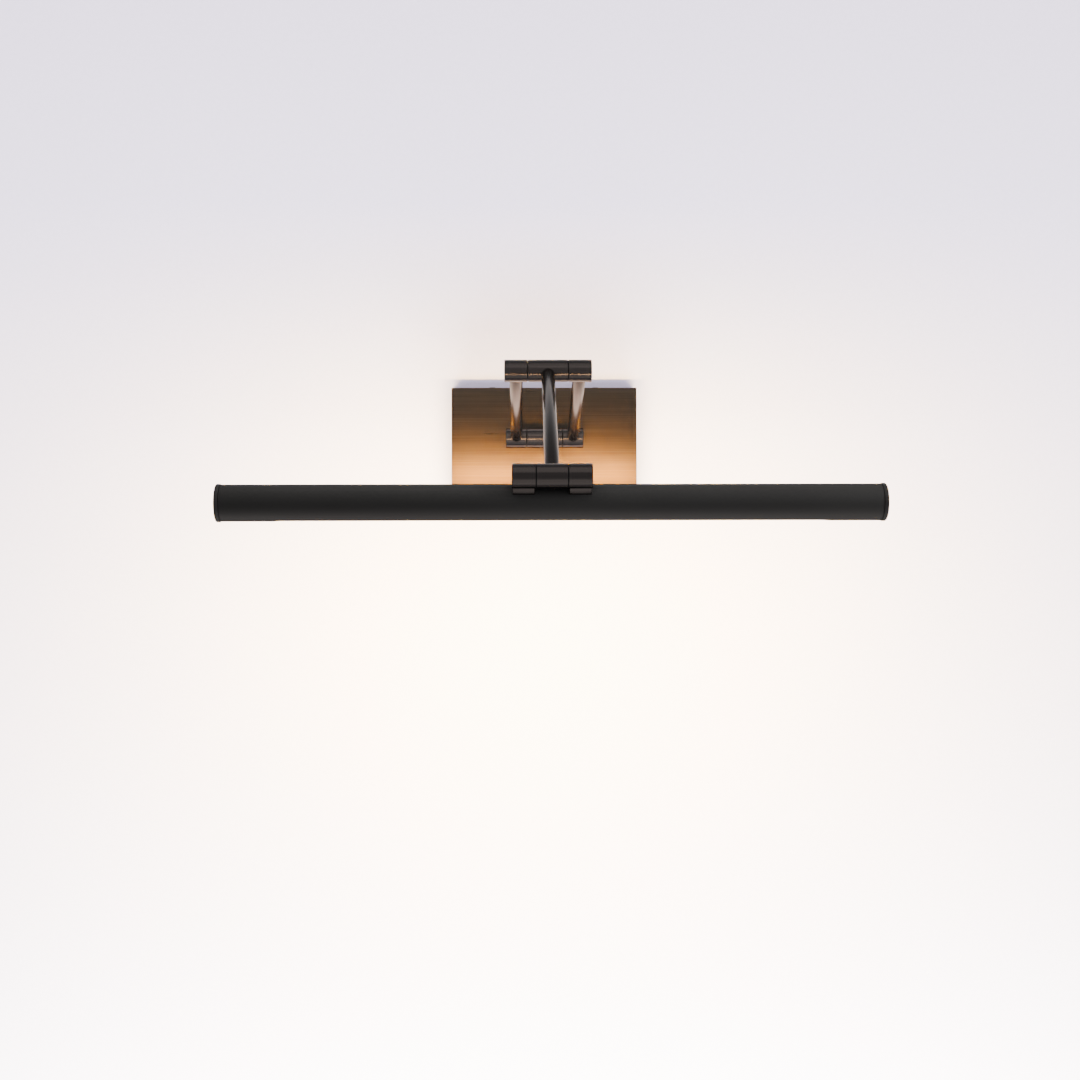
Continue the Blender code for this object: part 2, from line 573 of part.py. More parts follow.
def lamp_knuckle(lamp_axis):
    """Outer barrels with feet that sit on the tube, and the screws that hold them from inside."""
    foot_top = -PIN_HEAD_RADIUS - 3 * GAP
    foot_bottom = -(TUBE_DROP - math.sqrt((TUBE_RADIUS + GAP) ** 2 - FOOT_HALF_WIDTH ** 2))
    foot_length = LAMP_KNUCKLE_HALF - LAMP_KNUCKLE_SEAM - SEAM / 2 - 2 * BARREL_EDGE
    screw_seat = TUBE_BORE - 0.7 * MM - TUBE_DROP
    for side, hand in ((-1, "left"), (1, "right")):
        barrel = knuckle_outer(f"lamp_knuckle_{hand}", side, LAMP_KNUCKLE_HALF, LAMP_KNUCKLE_SEAM,
                               (0, 0, 0), lamp_axis)
        foot_x = side * FOOT_X
        join(barrel, block((foot_length, 2 * FOOT_HALF_WIDTH, foot_top - foot_bottom)),
             (foot_x, 0, (foot_top + foot_bottom) / 2))
        cut(barrel, cylinder(TUBE_RADIUS + GAP, -60 * MM, 60 * MM, "X", 48), (0, 0, -TUBE_DROP))
        cut(barrel, cylinder(SADDLE_HOLE_RADIUS, -20 * MM, -4.9 * MM, segments=16), (foot_x, 0, 0))
        screw = headed_screw(SADDLE_SCREW_HEAD, 1.6 * MM, SADDLE_HOLE_RADIUS - GAP, 7 * MM, "-Z")
        object_from(f"saddle_screw_{hand}", screw, ZINC, (foot_x, 0, screw_seat), parent=lamp_axis)
    pin_set("lamp", LAMP_KNUCKLE_HALF, LAMP_KNUCKLE_SEAM, (0, 0, 0), lamp_axis)


def lamp_tube(lamp_axis):
    """Tube with a round-ended window along the side away from the knuckle."""
    half = LAMP_LENGTH / 2 - CAP_THICKNESS - GAP
    shell = ring(TUBE_RADIUS, TUBE_BORE, -half, half, "X", 48)
    tube = object_from("lamp_tube", shell, SATIN_BLACK, (0, 0, -TUBE_DROP), parent=lamp_axis)
    cut(tube, slot(WINDOW_LENGTH, WINDOW_WIDTH / 2, TUBE_RADIUS), (0, 0, -TUBE_RADIUS))
    for side in (-1, 1):
        cut(tube, cylinder(SADDLE_HOLE_RADIUS, 5 * MM, 15 * MM, segments=16), (side * FOOT_X, 0, 0))


def end_caps(lamp_axis):
    """Plugged end caps, each with a screw into the carrier."""
    inner = LAMP_LENGTH / 2 - CAP_THICKNESS
    outer = LAMP_LENGTH / 2
    plug = TUBE_BORE - GAP
    plug_bore = plug - CAP_PLUG_WALL
    plug_end = inner - CAP_PLUG_DEPTH
    head = outer - 0.2 * MM
    seat = head - CAP_SCREW_HEAD
    section = [(0, inner), (plug_bore, inner), (plug_bore, plug_end), (plug, plug_end), (plug, inner),
               (CAP_RADIUS, inner), (CAP_RADIUS, outer - CAP_RIM), (CAP_RADIUS - CAP_RIM, outer), (0, outer)]
    screw_section = [(0, head), (CAP_SCREW_RADIUS, head), (CAP_SCREW_RADIUS, seat), (SCREW_SHANK, seat),
                     (SCREW_SHANK, outer - CAP_SCREW_LENGTH), (0, outer - CAP_SCREW_LENGTH)]
    for side, hand in ((-1, "left"), (1, "right")):
        cap_shape = turned([(radius, side * x) for radius, x in section], "X", 40)
        cap = object_from(f"end_cap_{hand}", cap_shape, SATIN_BLACK, (0, 0, -TUBE_DROP), parent=lamp_axis)
        through = sorted((side * (inner - OVERSHOOT), side * (outer + OVERSHOOT)))
        cut(cap, cylinder(SCREW_HOLE, *through, "X", 12), (0, 0, CARRIER_MIDDLE))
        recess = sorted((side * (outer - CAP_RECESS_DEPTH), side * (outer + OVERSHOOT)))
        cut(cap, cylinder(CAP_SCREW_RADIUS + GAP, *recess, "X", 16), (0, 0, CARRIER_MIDDLE))
        screw = turned([(radius, side * x) for radius, x in screw_section], "X", 16)
        object_from(f"end_cap_screw_{hand}", screw, BLACK_NICKEL, (0, 0, CARRIER_MIDDLE - TUBE_DROP),
                    parent=lamp_axis)


def light_engine(lamp_axis):
    """Heat-spreading carrier, LED board with its phosphor line, diffuser and lead."""
    carrier = object_from("led_carrier", block((CARRIER_LENGTH, CARRIER_WIDTH, CARRIER_THICKNESS)),
                          ALUMINIUM, (0, 0, CARRIER_MIDDLE - TUBE_DROP), parent=lamp_axis)
    for side in (-1, 1):
        ends = sorted((side * (CARRIER_LENGTH / 2 - 8 * MM), side * (CARRIER_LENGTH / 2 + OVERSHOOT)))
        cut(carrier, cylinder(SCREW_HOLE, *ends, "X", 12))
    cut(carrier, cylinder(LEAD_RADIUS, -CARRIER_THICKNESS, CARRIER_THICKNESS, segments=16),
        (LEAD_HOLE_X, 0, 0))
    board_z = CARRIER_BOTTOM - GAP - BOARD_THICKNESS / 2 - TUBE_DROP
    board = block((BOARD_LENGTH, BOARD_WIDTH, BOARD_THICKNESS))
    object_from("led_board", board, BOARD_WHITE, (0, 0, board_z), parent=lamp_axis)
    led_z = board_z - BOARD_THICKNESS / 2 - GAP - LED_THICKNESS / 2
    strip = block((LED_LENGTH, LED_WIDTH, LED_THICKNESS), 0.2 * MM)
    object_from("cob_led_strip", strip, PHOSPHOR, (0, 0, led_z), parent=lamp_axis)
    object_from("diffuser", diffuser_strip(), OPAL, (0, 0, -TUBE_DROP), parent=lamp_axis)
    lead_z = CARRIER_TOP + LEAD_RADIUS + GAP - TUBE_DROP
    corners = [(-FOOT_X - 6 * MM, 0, lead_z), (LEAD_HOLE_X, 0, lead_z),
               (LEAD_HOLE_X, 0, CARRIER_BOTTOM - TUBE_DROP)]
    lead = pipe(rounded_path(corners, 1.8 * MM, 4), LEAD_RADIUS - GAP, segments=12)
    object_from("lamp_lead", lead, NYLON, parent=lamp_axis)


def diffuser_strip():
    """A long strip whose section is an arc centred on local -Z."""
    outer = TUBE_BORE - GAP
    inner = outer - DIFFUSER_THICKNESS
    steps = 14
    shape = bmesh.new()
    section = []
    for radius, order in ((outer, range(steps + 1)), (inner, range(steps, -1, -1))):
        for step in order:
            angle = DIFFUSER_HALF_ANGLE * (2 * step / steps - 1)
            section.append((radius * math.sin(angle), -radius * math.cos(angle)))
    base = [shape.verts.new((-DIFFUSER_LENGTH / 2, y, z)) for y, z in section]
    face = shape.faces.new(base)
    lifted = bmesh.ops.extrude_face_region(shape, geom=[face])
    moved = [item for item in lifted["geom"] if isinstance(item, bmesh.types.BMVert)]
    bmesh.ops.translate(shape, vec=(DIFFUSER_LENGTH, 0, 0), verts=moved)
    return shape


def main():
    clear_scene()
    rear_tilt = math.pi / 2 - REAR_ARM_RISE
    front_tilt = math.pi / 2 - FRONT_ARM_RISE
    wall_axis = joint_empty("wall_hinge_axis", (0, WALL_AXIS_Y, 0), rear_tilt)
    elbow_axis = joint_empty("elbow_hinge_axis", (0, 0, REAR_ARM_LENGTH), front_tilt - rear_tilt, wall_axis)
    lamp_axis = joint_empty("lamp_tilt_axis", (0, 0, FRONT_ARM_LENGTH), LAMP_TILT - front_tilt, elbow_axis)
    wall_bracket()
    back_cover()
    wall_knuckle_post()
    led_driver()
    mains_terminals()
    rear_arm(wall_axis)
    front_arm(elbow_axis)
    lamp_knuckle(lamp_axis)
    lamp_tube(lamp_axis)
    end_caps(lamp_axis)
    light_engine(lamp_axis)


main()
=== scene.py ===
"""Picture light: the visible surfaces, materials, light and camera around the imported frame.

Metres, +Z up, -Y into the room. Round pieces are built about their own local axis and then placed,
so that a texture's Object coordinates follow the piece.
"""
import json
import math

import bpy
import bmesh
from mathutils import Matrix, Vector

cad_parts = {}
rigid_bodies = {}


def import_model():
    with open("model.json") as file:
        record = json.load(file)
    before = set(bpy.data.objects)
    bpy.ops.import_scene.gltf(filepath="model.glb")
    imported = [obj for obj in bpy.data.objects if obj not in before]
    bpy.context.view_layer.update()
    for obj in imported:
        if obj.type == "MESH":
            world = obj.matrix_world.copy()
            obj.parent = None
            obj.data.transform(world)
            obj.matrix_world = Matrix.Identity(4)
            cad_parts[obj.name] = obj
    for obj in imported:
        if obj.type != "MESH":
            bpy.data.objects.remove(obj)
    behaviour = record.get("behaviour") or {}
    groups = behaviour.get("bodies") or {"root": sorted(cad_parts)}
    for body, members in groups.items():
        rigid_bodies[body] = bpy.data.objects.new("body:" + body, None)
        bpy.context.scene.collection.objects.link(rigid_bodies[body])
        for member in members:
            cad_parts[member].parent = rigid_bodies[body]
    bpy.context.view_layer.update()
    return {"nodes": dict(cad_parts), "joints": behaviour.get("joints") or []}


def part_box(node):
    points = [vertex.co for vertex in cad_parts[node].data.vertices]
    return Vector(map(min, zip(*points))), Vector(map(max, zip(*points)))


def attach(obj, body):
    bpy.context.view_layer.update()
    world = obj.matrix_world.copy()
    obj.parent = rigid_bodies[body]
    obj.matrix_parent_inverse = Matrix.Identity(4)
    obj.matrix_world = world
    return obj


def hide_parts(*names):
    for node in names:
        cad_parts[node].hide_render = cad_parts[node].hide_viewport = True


MM = 0.001
X_AXIS = Vector((1, 0, 0))
SIDES = ((-1, "left"), (1, "right"))
HEXAGON = 6

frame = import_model()
joint_at = {joint["name"]: Vector(joint["pos_m"]) for joint in frame["joints"]}


# ---------------------------------------------------------------- small geometry tools

def centre_of(node):
    low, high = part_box(node)
    return (low + high) / 2


def frame_at(origin, up):
    """A matrix whose local X is world X, and whose local Z runs along up."""
    up = Vector(up).normalized()
    matrix = Matrix((X_AXIS, up.cross(X_AXIS), up)).transposed().to_4x4()
    matrix.translation = origin
    return matrix


def along_x(origin, direction=1):
    """A matrix whose local Z runs along world X, or against it for direction -1."""
    matrix = Matrix.Rotation(direction * math.pi / 2, 4, "Y")
    matrix.translation = origin
    return matrix


def filleted(corners, closed=True, steps=5):
    """An outline whose (x, y, radius) corners are rounded by arcs."""
    outline = []
    for i, (x, y, radius) in enumerate(corners):
        here = Vector((x, y))
        if not radius or (not closed and i in (0, len(corners) - 1)):
            outline.append(here)
            continue
        before = (Vector(corners[i - 1][:2]) - here).normalized()
        after = (Vector(corners[(i + 1) % len(corners)][:2]) - here).normalized()
        half = before.angle(after) / 2
        centre = here + (before + after).normalized() * radius / math.sin(half)
        start = here + before * radius / math.tan(half) - centre
        end = here + after * radius / math.tan(half) - centre
        sweep = math.atan2(start.x * end.y - start.y * end.x, start.dot(end))
        for step in range(steps + 1):
            outline.append(centre + Matrix.Rotation(sweep * step / steps, 2) @ start)
    return outline


def mesh_object(name, vertices, faces, matrix=None, sharp=35):
    """A new piece with outward faces, smooth except at edges sharper than an angle in degrees."""
    mesh = bpy.data.meshes.new(name)
    mesh.from_pydata([tuple(v) for v in vertices], [], faces)
    shape = bmesh.new()
    shape.from_mesh(mesh)
    bmesh.ops.remove_doubles(shape, verts=shape.verts, dist=1e-7)
    bmesh.ops.recalc_face_normals(shape, faces=shape.faces)
    shape.to_mesh(mesh)
    shape.free()
    piece = bpy.data.objects.new(name, mesh)
    bpy.context.scene.collection.objects.link(piece)
    if matrix is not None:
        piece.matrix_world = matrix
    smooth(piece, sharp)
    return piece


def smooth(piece, sharp):
    piece.data.shade_smooth()
    piece.data.set_sharp_from_angle(angle=math.radians(sharp))


def turned(name, profile, matrix, segments, sharp=35):
    """Spin a (radius, height) outline about local Z: closed, or open with both ends on the axis."""
    closed = min(point[0] for point in profile) > 1e-6
    count = len(profile)
    vertices = []
    for step in range(segments):
        angle = math.tau * step / segments
        for radius, height in profile:
            vertices.append((radius * math.cos(angle), radius * math.sin(angle), height))
    faces = []
    for step in range(segments):
        this = step * count
        following = (step + 1) % segments * count
        for k in range(count if closed else count - 1):
            after = (k + 1) % count
            face = [this + k, this + after, following + after, following + k]
            if profile[k][0] < 1e-6:
                face = face[:3]
            elif profile[after][0] < 1e-6:
                face = [this + k, this + after, following + k]
            faces.append(face)
    return mesh_object(name, vertices, faces, matrix, sharp)


def prism_faces(count):
    """Side and end faces of a prism whose two outlines have count corners each."""
    sides = [(k, (k + 1) % count, count + (k + 1) % count, count + k) for k in range(count)]
    return sides + [tuple(range(count)), tuple(range(count, 2 * count))]


def rounded_prism(name, outline, length, matrix, bevel):
    """An outline in local YZ, extruded along local X about the origin, with rounded edges."""
    vertices = [(side * length / 2, y, z) for side in (-1, 1) for y, z in outline]
    piece = mesh_object(name, vertices, prism_faces(len(outline)), matrix)
    rounded(piece, bevel)
    apply_modifiers(piece)
    return piece


def rounded(piece, width, segments=3, angle=40):
    """Add a bevel to the edges sharper than an angle in degrees."""
    modifier = piece.modifiers.new("rounded", "BEVEL")
    modifier.width = width
    modifier.segments = segments
    modifier.limit_method = "ANGLE"
    modifier.angle_limit = math.radians(angle)


def apply_modifiers(piece, sharp=35):
    """Bake the modifiers into the mesh."""
    graph = bpy.context.evaluated_depsgraph_get()
    baked = bpy.data.meshes.new_from_object(piece.evaluated_get(graph))
    piece.modifiers.clear()
    piece.data = baked
    smooth(piece, sharp)


def cut(piece, *cutters, operation="DIFFERENCE"):
    """Cut closed shapes from a piece, or join them on, and remove them."""
    bpy.context.view_layer.update()
    for cutter in cutters:
        modifier = piece.modifiers.new("cut", "BOOLEAN")
        modifier.operation = operation
        modifier.object = cutter
    apply_modifiers(piece)
    for cutter in cutters:
        bpy.data.objects.remove(cutter)


def cylinder(radius, low, high, matrix, segments=64):
    """A cutter about a matrix's local Z, between two heights; a hexagon socket with six segments."""
    return turned("cutter", [(0, low), (radius, low), (radius, high), (0, high)], matrix, segments)


# ---------------------------------------------------------------- materials

NOISE_LOW = 0.3
NOISE_HIGH = 0.7


class Recipe:
    """A material's node tree, with short calls to add and join nodes."""

    def __init__(self, name):
        self.material = bpy.data.materials.new(name)
        self.material.use_nodes = True
        self.tree = self.material.node_tree
        self.tree.nodes.clear()
        self.output = self.tree.nodes.new("ShaderNodeOutputMaterial")

    def add(self, kind, inputs=None, **settings):
        node = self.tree.nodes.new("ShaderNode" + kind)
        for name, value in settings.items():
            setattr(node, name, value)
        for name, value in (inputs or {}).items():
            if isinstance(value, bpy.types.NodeSocket):
                self.tree.links.new(value, node.inputs[name])
            else:
                node.inputs[name].default_value = value
        return node

    def stretched_noise(self, scale, detail, roughness):
        """Noise whose grain is squeezed by a scale per axis, in grains per metre."""
        place = self.add("TexCoord").outputs["Object"]
        mapping = self.add("Mapping", {"Vector": place, "Scale": scale})
        noise = self.add("TexNoise", {"Vector": mapping.outputs["Vector"], "Scale": 1.0, "Detail": detail,
                                      "Roughness": roughness})
        return noise.outputs["Fac"]

    def ramp(self, factor, low, high):
        """Colour a noise from one colour in its lows to another in its highs."""
        node = self.add("ValToRGB", {"Fac": factor})
        stops = ((NOISE_LOW, low), (NOISE_HIGH, high))
        for element, (position, colour) in zip(node.color_ramp.elements, stops):
            element.position = position
            element.color = (*colour, 1.0)
        return node.outputs["Color"]

    def span(self, factor, low, high):
        """Map a noise onto low to high."""
        node = self.add("MapRange", {"Value": factor, "From Min": NOISE_LOW, "From Max": NOISE_HIGH,
                                     "To Min": low, "To Max": high})
        return node.outputs["Result"]

    def bump(self, height, strength, distance):
        node = self.add("Bump", {"Height": height, "Strength": strength, "Distance": distance})
        return node.outputs["Normal"]

    def total(self, first, second):
        return self.add("Math", {0: first, 1: second}, operation="ADD").outputs[0]

    def finish(self, shader):
        self.tree.links.new(shader.outputs[0], self.output.inputs["Surface"])
        return self.material


def tinted(colour, factor):
    return tuple(min(1.0, channel * factor) for channel in colour)


def brushed_metal(name, colour, roughness, grain, contrast=0.10, depth=0.003):
    """Metal with fine parallel lines: grain is their density per axis, low along them, depth is in mm."""
    recipe = Recipe(name)
    fine = recipe.stretched_noise(grain, 4.0, 0.6)
    broad = recipe.stretched_noise(tuple(value * 0.15 for value in grain), 2.0, 0.5)
    smudge = recipe.stretched_noise((28, 28, 28), 3.0, 0.55)
    base = recipe.ramp(fine, tinted(colour, 1 - contrast), tinted(colour, 1 + contrast))
    cast = recipe.ramp(broad, (0.94, 0.94, 0.94), (1.0, 1.0, 1.0))
    mixed = recipe.add("Mix", {"A": base, "B": cast, "Factor": 1.0}, data_type="RGBA", blend_type="MULTIPLY")
    lines = recipe.span(fine, roughness * 0.96, roughness * 1.04)
    shader = recipe.add("BsdfPrincipled", {
        "Base Color": mixed.outputs["Result"], "Metallic": 1.0,
        "Roughness": recipe.total(lines, recipe.span(smudge, -0.012, 0.018)),
        "Normal": recipe.bump(fine, 0.25, depth * MM),
    })
    return recipe.finish(shader)


def bronze_plate():
    """Dark bronze brushed along X."""
    return brushed_metal("brushed_bronze", (0.195, 0.143, 0.108), roughness=0.29, grain=(9, 1700, 1700),
                         contrast=0.15, depth=0.0004)


def black_nickel(name, density, depth):
    """Dark nickel with lines along local Z, deeper on the brushed barrels than on the polished rods."""
    return brushed_metal(name, (0.138, 0.121, 0.115), roughness=0.20, grain=(density, density, 6),
                         contrast=0.14, depth=depth)


def satin_black():
    """Near-black satin coat with a fine powder grain and faint handling marks."""
    recipe = Recipe("satin_black")
    grain = recipe.stretched_noise((2600, 2600, 2600), 2.0, 0.5)
    cloud = recipe.stretched_noise((30, 30, 9), 3.0, 0.55)
    marks = recipe.stretched_noise((900, 900, 60), 3.0, 0.6)
    shader = recipe.add("BsdfPrincipled", {
        "Base Color": recipe.ramp(cloud, (0.0400, 0.0385, 0.0375), (0.0470, 0.0455, 0.0440)),
        "Metallic": 0.0,
        "Roughness": recipe.total(recipe.span(cloud, 0.58, 0.63), recipe.span(marks, -0.02, 0.03)),
        "Specular IOR Level": 0.10,
        "Normal": recipe.bump(grain, 0.10, 0.01 * MM),
    })
    return recipe.finish(shader)


def plain_metal(name, colour, roughness):
    """Plated or cast metal with a mottled sheen."""
    recipe = Recipe(name)
    mottle = recipe.stretched_noise((420, 420, 420), 4.0, 0.6)
    base = recipe.ramp(mottle, tinted(colour, 0.86), tinted(colour, 1.06))
    normal = recipe.bump(mottle, 0.15, 0.02 * MM)
    rough = recipe.span(mottle, roughness * 0.85, roughness * 1.2)
    shader = recipe.add("BsdfPrincipled", {
        "Base Color": base, "Metallic": 1.0, "Roughness": rough, "Normal": normal,
    })
    return recipe.finish(shader)


def moulded(name, colour, roughness):
    """Plastic or rubber with a fine moulded grain."""
    recipe = Recipe(name)
    grain = recipe.stretched_noise((1400, 1400, 1400), 3.0, 0.55)
    cloud = recipe.stretched_noise((45, 45, 45), 2.0, 0.5)
    base = recipe.ramp(cloud, tinted(colour, 0.92), tinted(colour, 1.05))
    normal = recipe.bump(grain, 0.20, 0.03 * MM)
    rough = recipe.span(grain, roughness * 0.9, roughness * 1.12)
    shader = recipe.add("BsdfPrincipled", {
        "Base Color": base, "Metallic": 0.0, "Roughness": rough, "Normal": normal,
    })
    return recipe.finish(shader)


def glowing(name, colour, strength, scale):
    """A lit surface: its own colour plus an emission that varies slightly along it."""
    recipe = Recipe(name)
    cloud = recipe.stretched_noise(scale, 2.0, 0.5)
    shader = recipe.add("BsdfPrincipled", {
        "Base Color": recipe.ramp(cloud, tinted(colour, 0.94), colour),
        "Roughness": 0.45,
        "Emission Color": (*colour, 1.0),
        "Emission Strength": recipe.span(cloud, strength * 0.94, strength * 1.04),
    })
    return recipe.finish(shader)


materials = {
    "bronze": bronze_plate(),
    "nickel": black_nickel("black_nickel_polished", 700, 0.0008),
    "nickel_brushed": black_nickel("black_nickel_brushed", 1300, 0.0015),
    "satin_black": satin_black(),
    "zinc": plain_metal("zinc_steel", (0.55, 0.56, 0.58), 0.36),
    "brass": plain_metal("brass_fittings", (0.62, 0.45, 0.16), 0.30),
    "aluminium": brushed_metal("carrier_aluminium", (0.72, 0.73, 0.74), 0.34, (14, 1200, 1200)),
    "white_plastic": moulded("white_plastic", (0.76, 0.76, 0.74), 0.46),
    "board": moulded("circuit_board", (0.74, 0.76, 0.74), 0.50),
    "driver_board": moulded("driver_board_green", (0.03, 0.16, 0.07), 0.42),
    "nylon": moulded("black_nylon", (0.022, 0.022, 0.022), 0.55),
    "rubber": moulded("black_rubber", (0.020, 0.020, 0.020), 0.72),
    "diffuser": glowing("opal_diffuser", (1.0, 0.62, 0.32), 32.0, (30, 60, 60)),
    "phosphor": glowing("led_phosphor", (1.0, 0.72, 0.30), 20.0, (400, 200, 200)),
}


def dress(piece, material):
    """Give a piece or a CAD node one material."""
    piece.data.materials.clear()
    piece.data.materials.append(materials[material])


pieces_on = {}


def fit(piece, body, material, slot, *nodes):
    """Give a new piece its material and body, and let it stand for CAD nodes; the finish slot is not used."""
    pieces_on.setdefault(body, []).append(piece)
    dress(piece, material)
    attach(piece, body)
    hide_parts(*nodes)


# ---------------------------------------------------------------- sizes of the arm, and places from the frame

BARREL_RADIUS = 8.4 * MM
BARREL_FILLET = 0.55 * MM
SEAM_FILLET = 0.2 * MM
RECESS_RADIUS = 5.2 * MM
RECESS_DEPTH = 2.8 * MM
PIN_BORE = 3.3 * MM
PIN_RADIUS = 3.0 * MM
PIN_HEAD_RADIUS = 4.85 * MM
PIN_HEAD_HEIGHT = 2.2 * MM
PIN_HEAD_SINK = 0.3 * MM
PIN_SOCKET = 2.1 * MM
NUT_BORE = 3.25 * MM
WASHER_RADIUS = 7.8 * MM
WASHER_HALF = 0.25 * MM
ROD_RADIUS = 5.0 * MM
ROD_BORE = 3.8 * MM
SOCKET_RADIUS = 5.06 * MM
SOCKET_FLOOR = 5.6 * MM
ROD_START = 5.9 * MM
ROD_X = 24 * MM
ARM_HALF = 32.9 * MM
ARM_SEAM = 15.2 * MM
LAMP_HALF = 26.9 * MM
LAMP_SEAM = 10.7 * MM
SEAM_HALF = 0.32 * MM

wall_at = joint_at["wall_hinge"]
elbow_at = joint_at["elbow_hinge"]
lamp_at = joint_at["lamp_tilt"]
tube_at = (centre_of("end_cap_left") + centre_of("end_cap_right")) / 2
rear_up = (elbow_at - wall_at).normalized()
front_up = (lamp_at - elbow_at).normalized()
lamp_up = (lamp_at - tube_at).normalized()
tube_frame = frame_at(tube_at, lamp_up)


# ---------------------------------------------------------------- knuckles

def barrel(name, low, high, centre, recess=0):
    """A bored barrel along X between two distances from its knuckle's middle, with rounded rims."""
    corners = [(PIN_BORE, low, 0.15 * MM), (BARREL_RADIUS, low, SEAM_FILLET)]
    if recess:
        corners += [(BARREL_RADIUS, high, BARREL_FILLET), (RECESS_RADIUS, high, 0.25 * MM),
                    (RECESS_RADIUS, high - recess, 0), (PIN_BORE, high - recess, 0)]
    else:
        corners += [(BARREL_RADIUS, high, SEAM_FILLET), (PIN_BORE, high, 0.15 * MM)]
    return turned(name, filleted(corners), along_x(centre), segments=112)


def outer_barrel(name, side, inner, outer, centre):
    """A barrel on one side of its knuckle, with a recess at its outer end for the pin's head or nut."""
    piece = barrel(name, inner, outer, centre, recess=RECESS_DEPTH)
    piece.matrix_world = along_x(centre, side)
    return piece


def socket_cutter(centre, direction, x=0.0):
    """A cutter for a rod's socket in a barrel."""
    place = frame_at(centre + X_AXIS * x, direction)
    return cylinder(SOCKET_RADIUS, SOCKET_FLOOR, 2 * BARREL_RADIUS, place, 72)


def pin_hardware(prefix, body, half, seam, centre):
    """Socket-head pin, hexagon nut and friction washers of one knuckle."""
    place = along_x(centre)
    head = half - PIN_HEAD_SINK
    seat = head - PIN_HEAD_HEIGHT
    outline = filleted([(0, -head, 0), (PIN_HEAD_RADIUS, -head, 0.45 * MM), (PIN_HEAD_RADIUS, -seat, 0),
                        (PIN_RADIUS, -seat, 0), (PIN_RADIUS, head, 0.5 * MM), (0, head, 0)], closed=False)
    pin = turned(f"{prefix}_pin", outline, place, 64)
    cut(pin, cylinder(PIN_SOCKET, -head - MM, -head + 1.4 * MM, place, HEXAGON))
    fit(pin, body, "nickel", "black_nickel", f"{prefix}_hinge_pin")
    outline = filleted([(NUT_BORE, seat, 0), (PIN_HEAD_RADIUS, seat, 0.2 * MM),
                        (PIN_HEAD_RADIUS, head, 0.4 * MM), (NUT_BORE, head, 0.2 * MM)])
    nut = turned(f"{prefix}_nut", outline, place, HEXAGON, sharp=25)
    fit(nut, body, "nickel", "black_nickel", f"{prefix}_pin_nut")
    for side, word in SIDES:
        low, high = side * seam - WASHER_HALF, side * seam + WASHER_HALF
        outline = filleted([(PIN_BORE, low, 0), (WASHER_RADIUS, low, 0.1 * MM),
                            (WASHER_RADIUS, high, 0.1 * MM), (PIN_BORE, high, 0)])
        washer = turned(f"{prefix}_friction_washer_{word}", outline, place, 96)
        fit(washer, body, "nylon", "black_nylon", f"{prefix}_washer_{word}")


# ---------------------------------------------------------------- arms

def rod(name, body, start, direction, length, node):
    """A hollow rod between the sockets of two barrels."""
    end = length - ROD_START
    outline = filleted([(ROD_BORE, ROD_START, 0.1 * MM), (ROD_RADIUS, ROD_START, 0.2 * MM),
                        (ROD_RADIUS, end, 0.2 * MM), (ROD_BORE, end, 0.1 * MM)], steps=2)
    piece = turned(name, outline, frame_at(start, direction), 96)
    fit(piece, body, "nickel", "black_nickel", node)


def rear_arm():
    """Outer barrels of the wall and elbow knuckles, the two rods between them, and both knuckles' pins."""
    for side, word in SIDES:
        for joint, centre, direction in (("wall", wall_at, rear_up), ("elbow", elbow_at, -rear_up)):
            piece = outer_barrel(f"{joint}_barrel_{word}", side, ARM_SEAM + SEAM_HALF, ARM_HALF, centre)
            cut(piece, socket_cutter(centre, direction, side * ROD_X))
            fit(piece, "twin_arm", "nickel_brushed", "black_nickel", f"{joint}_knuckle_{word}")
        rod(f"rear_rod_{word}", "twin_arm", wall_at + X_AXIS * side * ROD_X, rear_up,
            (elbow_at - wall_at).length, f"rear_arm_{word}")
    pin_hardware("wall", "twin_arm", ARM_HALF, ARM_SEAM, wall_at)
    pin_hardware("elbow", "twin_arm", ARM_HALF, ARM_SEAM, elbow_at)


def front_arm():
    """Middle barrels of the elbow and lamp knuckles and the rod between them."""
    half = ARM_SEAM - SEAM_HALF
    elbow_middle = barrel("elbow_barrel_middle", -half, half, elbow_at)
    cut(elbow_middle, socket_cutter(elbow_at, front_up))
    fit(elbow_middle, "single_arm", "nickel_brushed", "black_nickel", "elbow_knuckle_middle")
    half = LAMP_SEAM - SEAM_HALF
    lamp_middle = barrel("lamp_barrel_middle", -half, half, lamp_at)
    cut(lamp_middle, socket_cutter(lamp_at, -front_up))
    fit(lamp_middle, "single_arm", "nickel_brushed", "black_nickel", "lamp_knuckle_middle")
    rod("front_rod", "single_arm", elbow_at, front_up, (lamp_at - elbow_at).length, "front_arm")


# ---------------------------------------------------------------- wall plate

COVER_WALL = Vector((1.5, 1.5, 1.5)) * MM
COVER_SCREW_X = 45 * MM
COVER_SCREW_Y = -9.5 * MM
COVER_SCREW_HOLE = 1.8 * MM
SCREW_HEAD_RADIUS = 3.65 * MM
SCREW_HEAD_HEIGHT = 1.5 * MM
SCREW_SHANK = 1.45 * MM
SCREW_LENGTH = 7 * MM
SCREW_SOCKET = 1.2 * MM
POST_HOLE = 5.3 * MM
POST_START = 4.5 * MM
POST_RADIUS = 6 * MM
POST_FLANGE_RADIUS = 7.6 * MM
POST_FLANGE = 2.5 * MM
POST_SEAT = 19.7 * MM
POST_END = 33 * MM
THREAD_RADIUS = 5 * MM
THREAD_ROOT = 4.45 * MM
THREAD_PITCH = MM
CABLE_BORE = 2.4 * MM


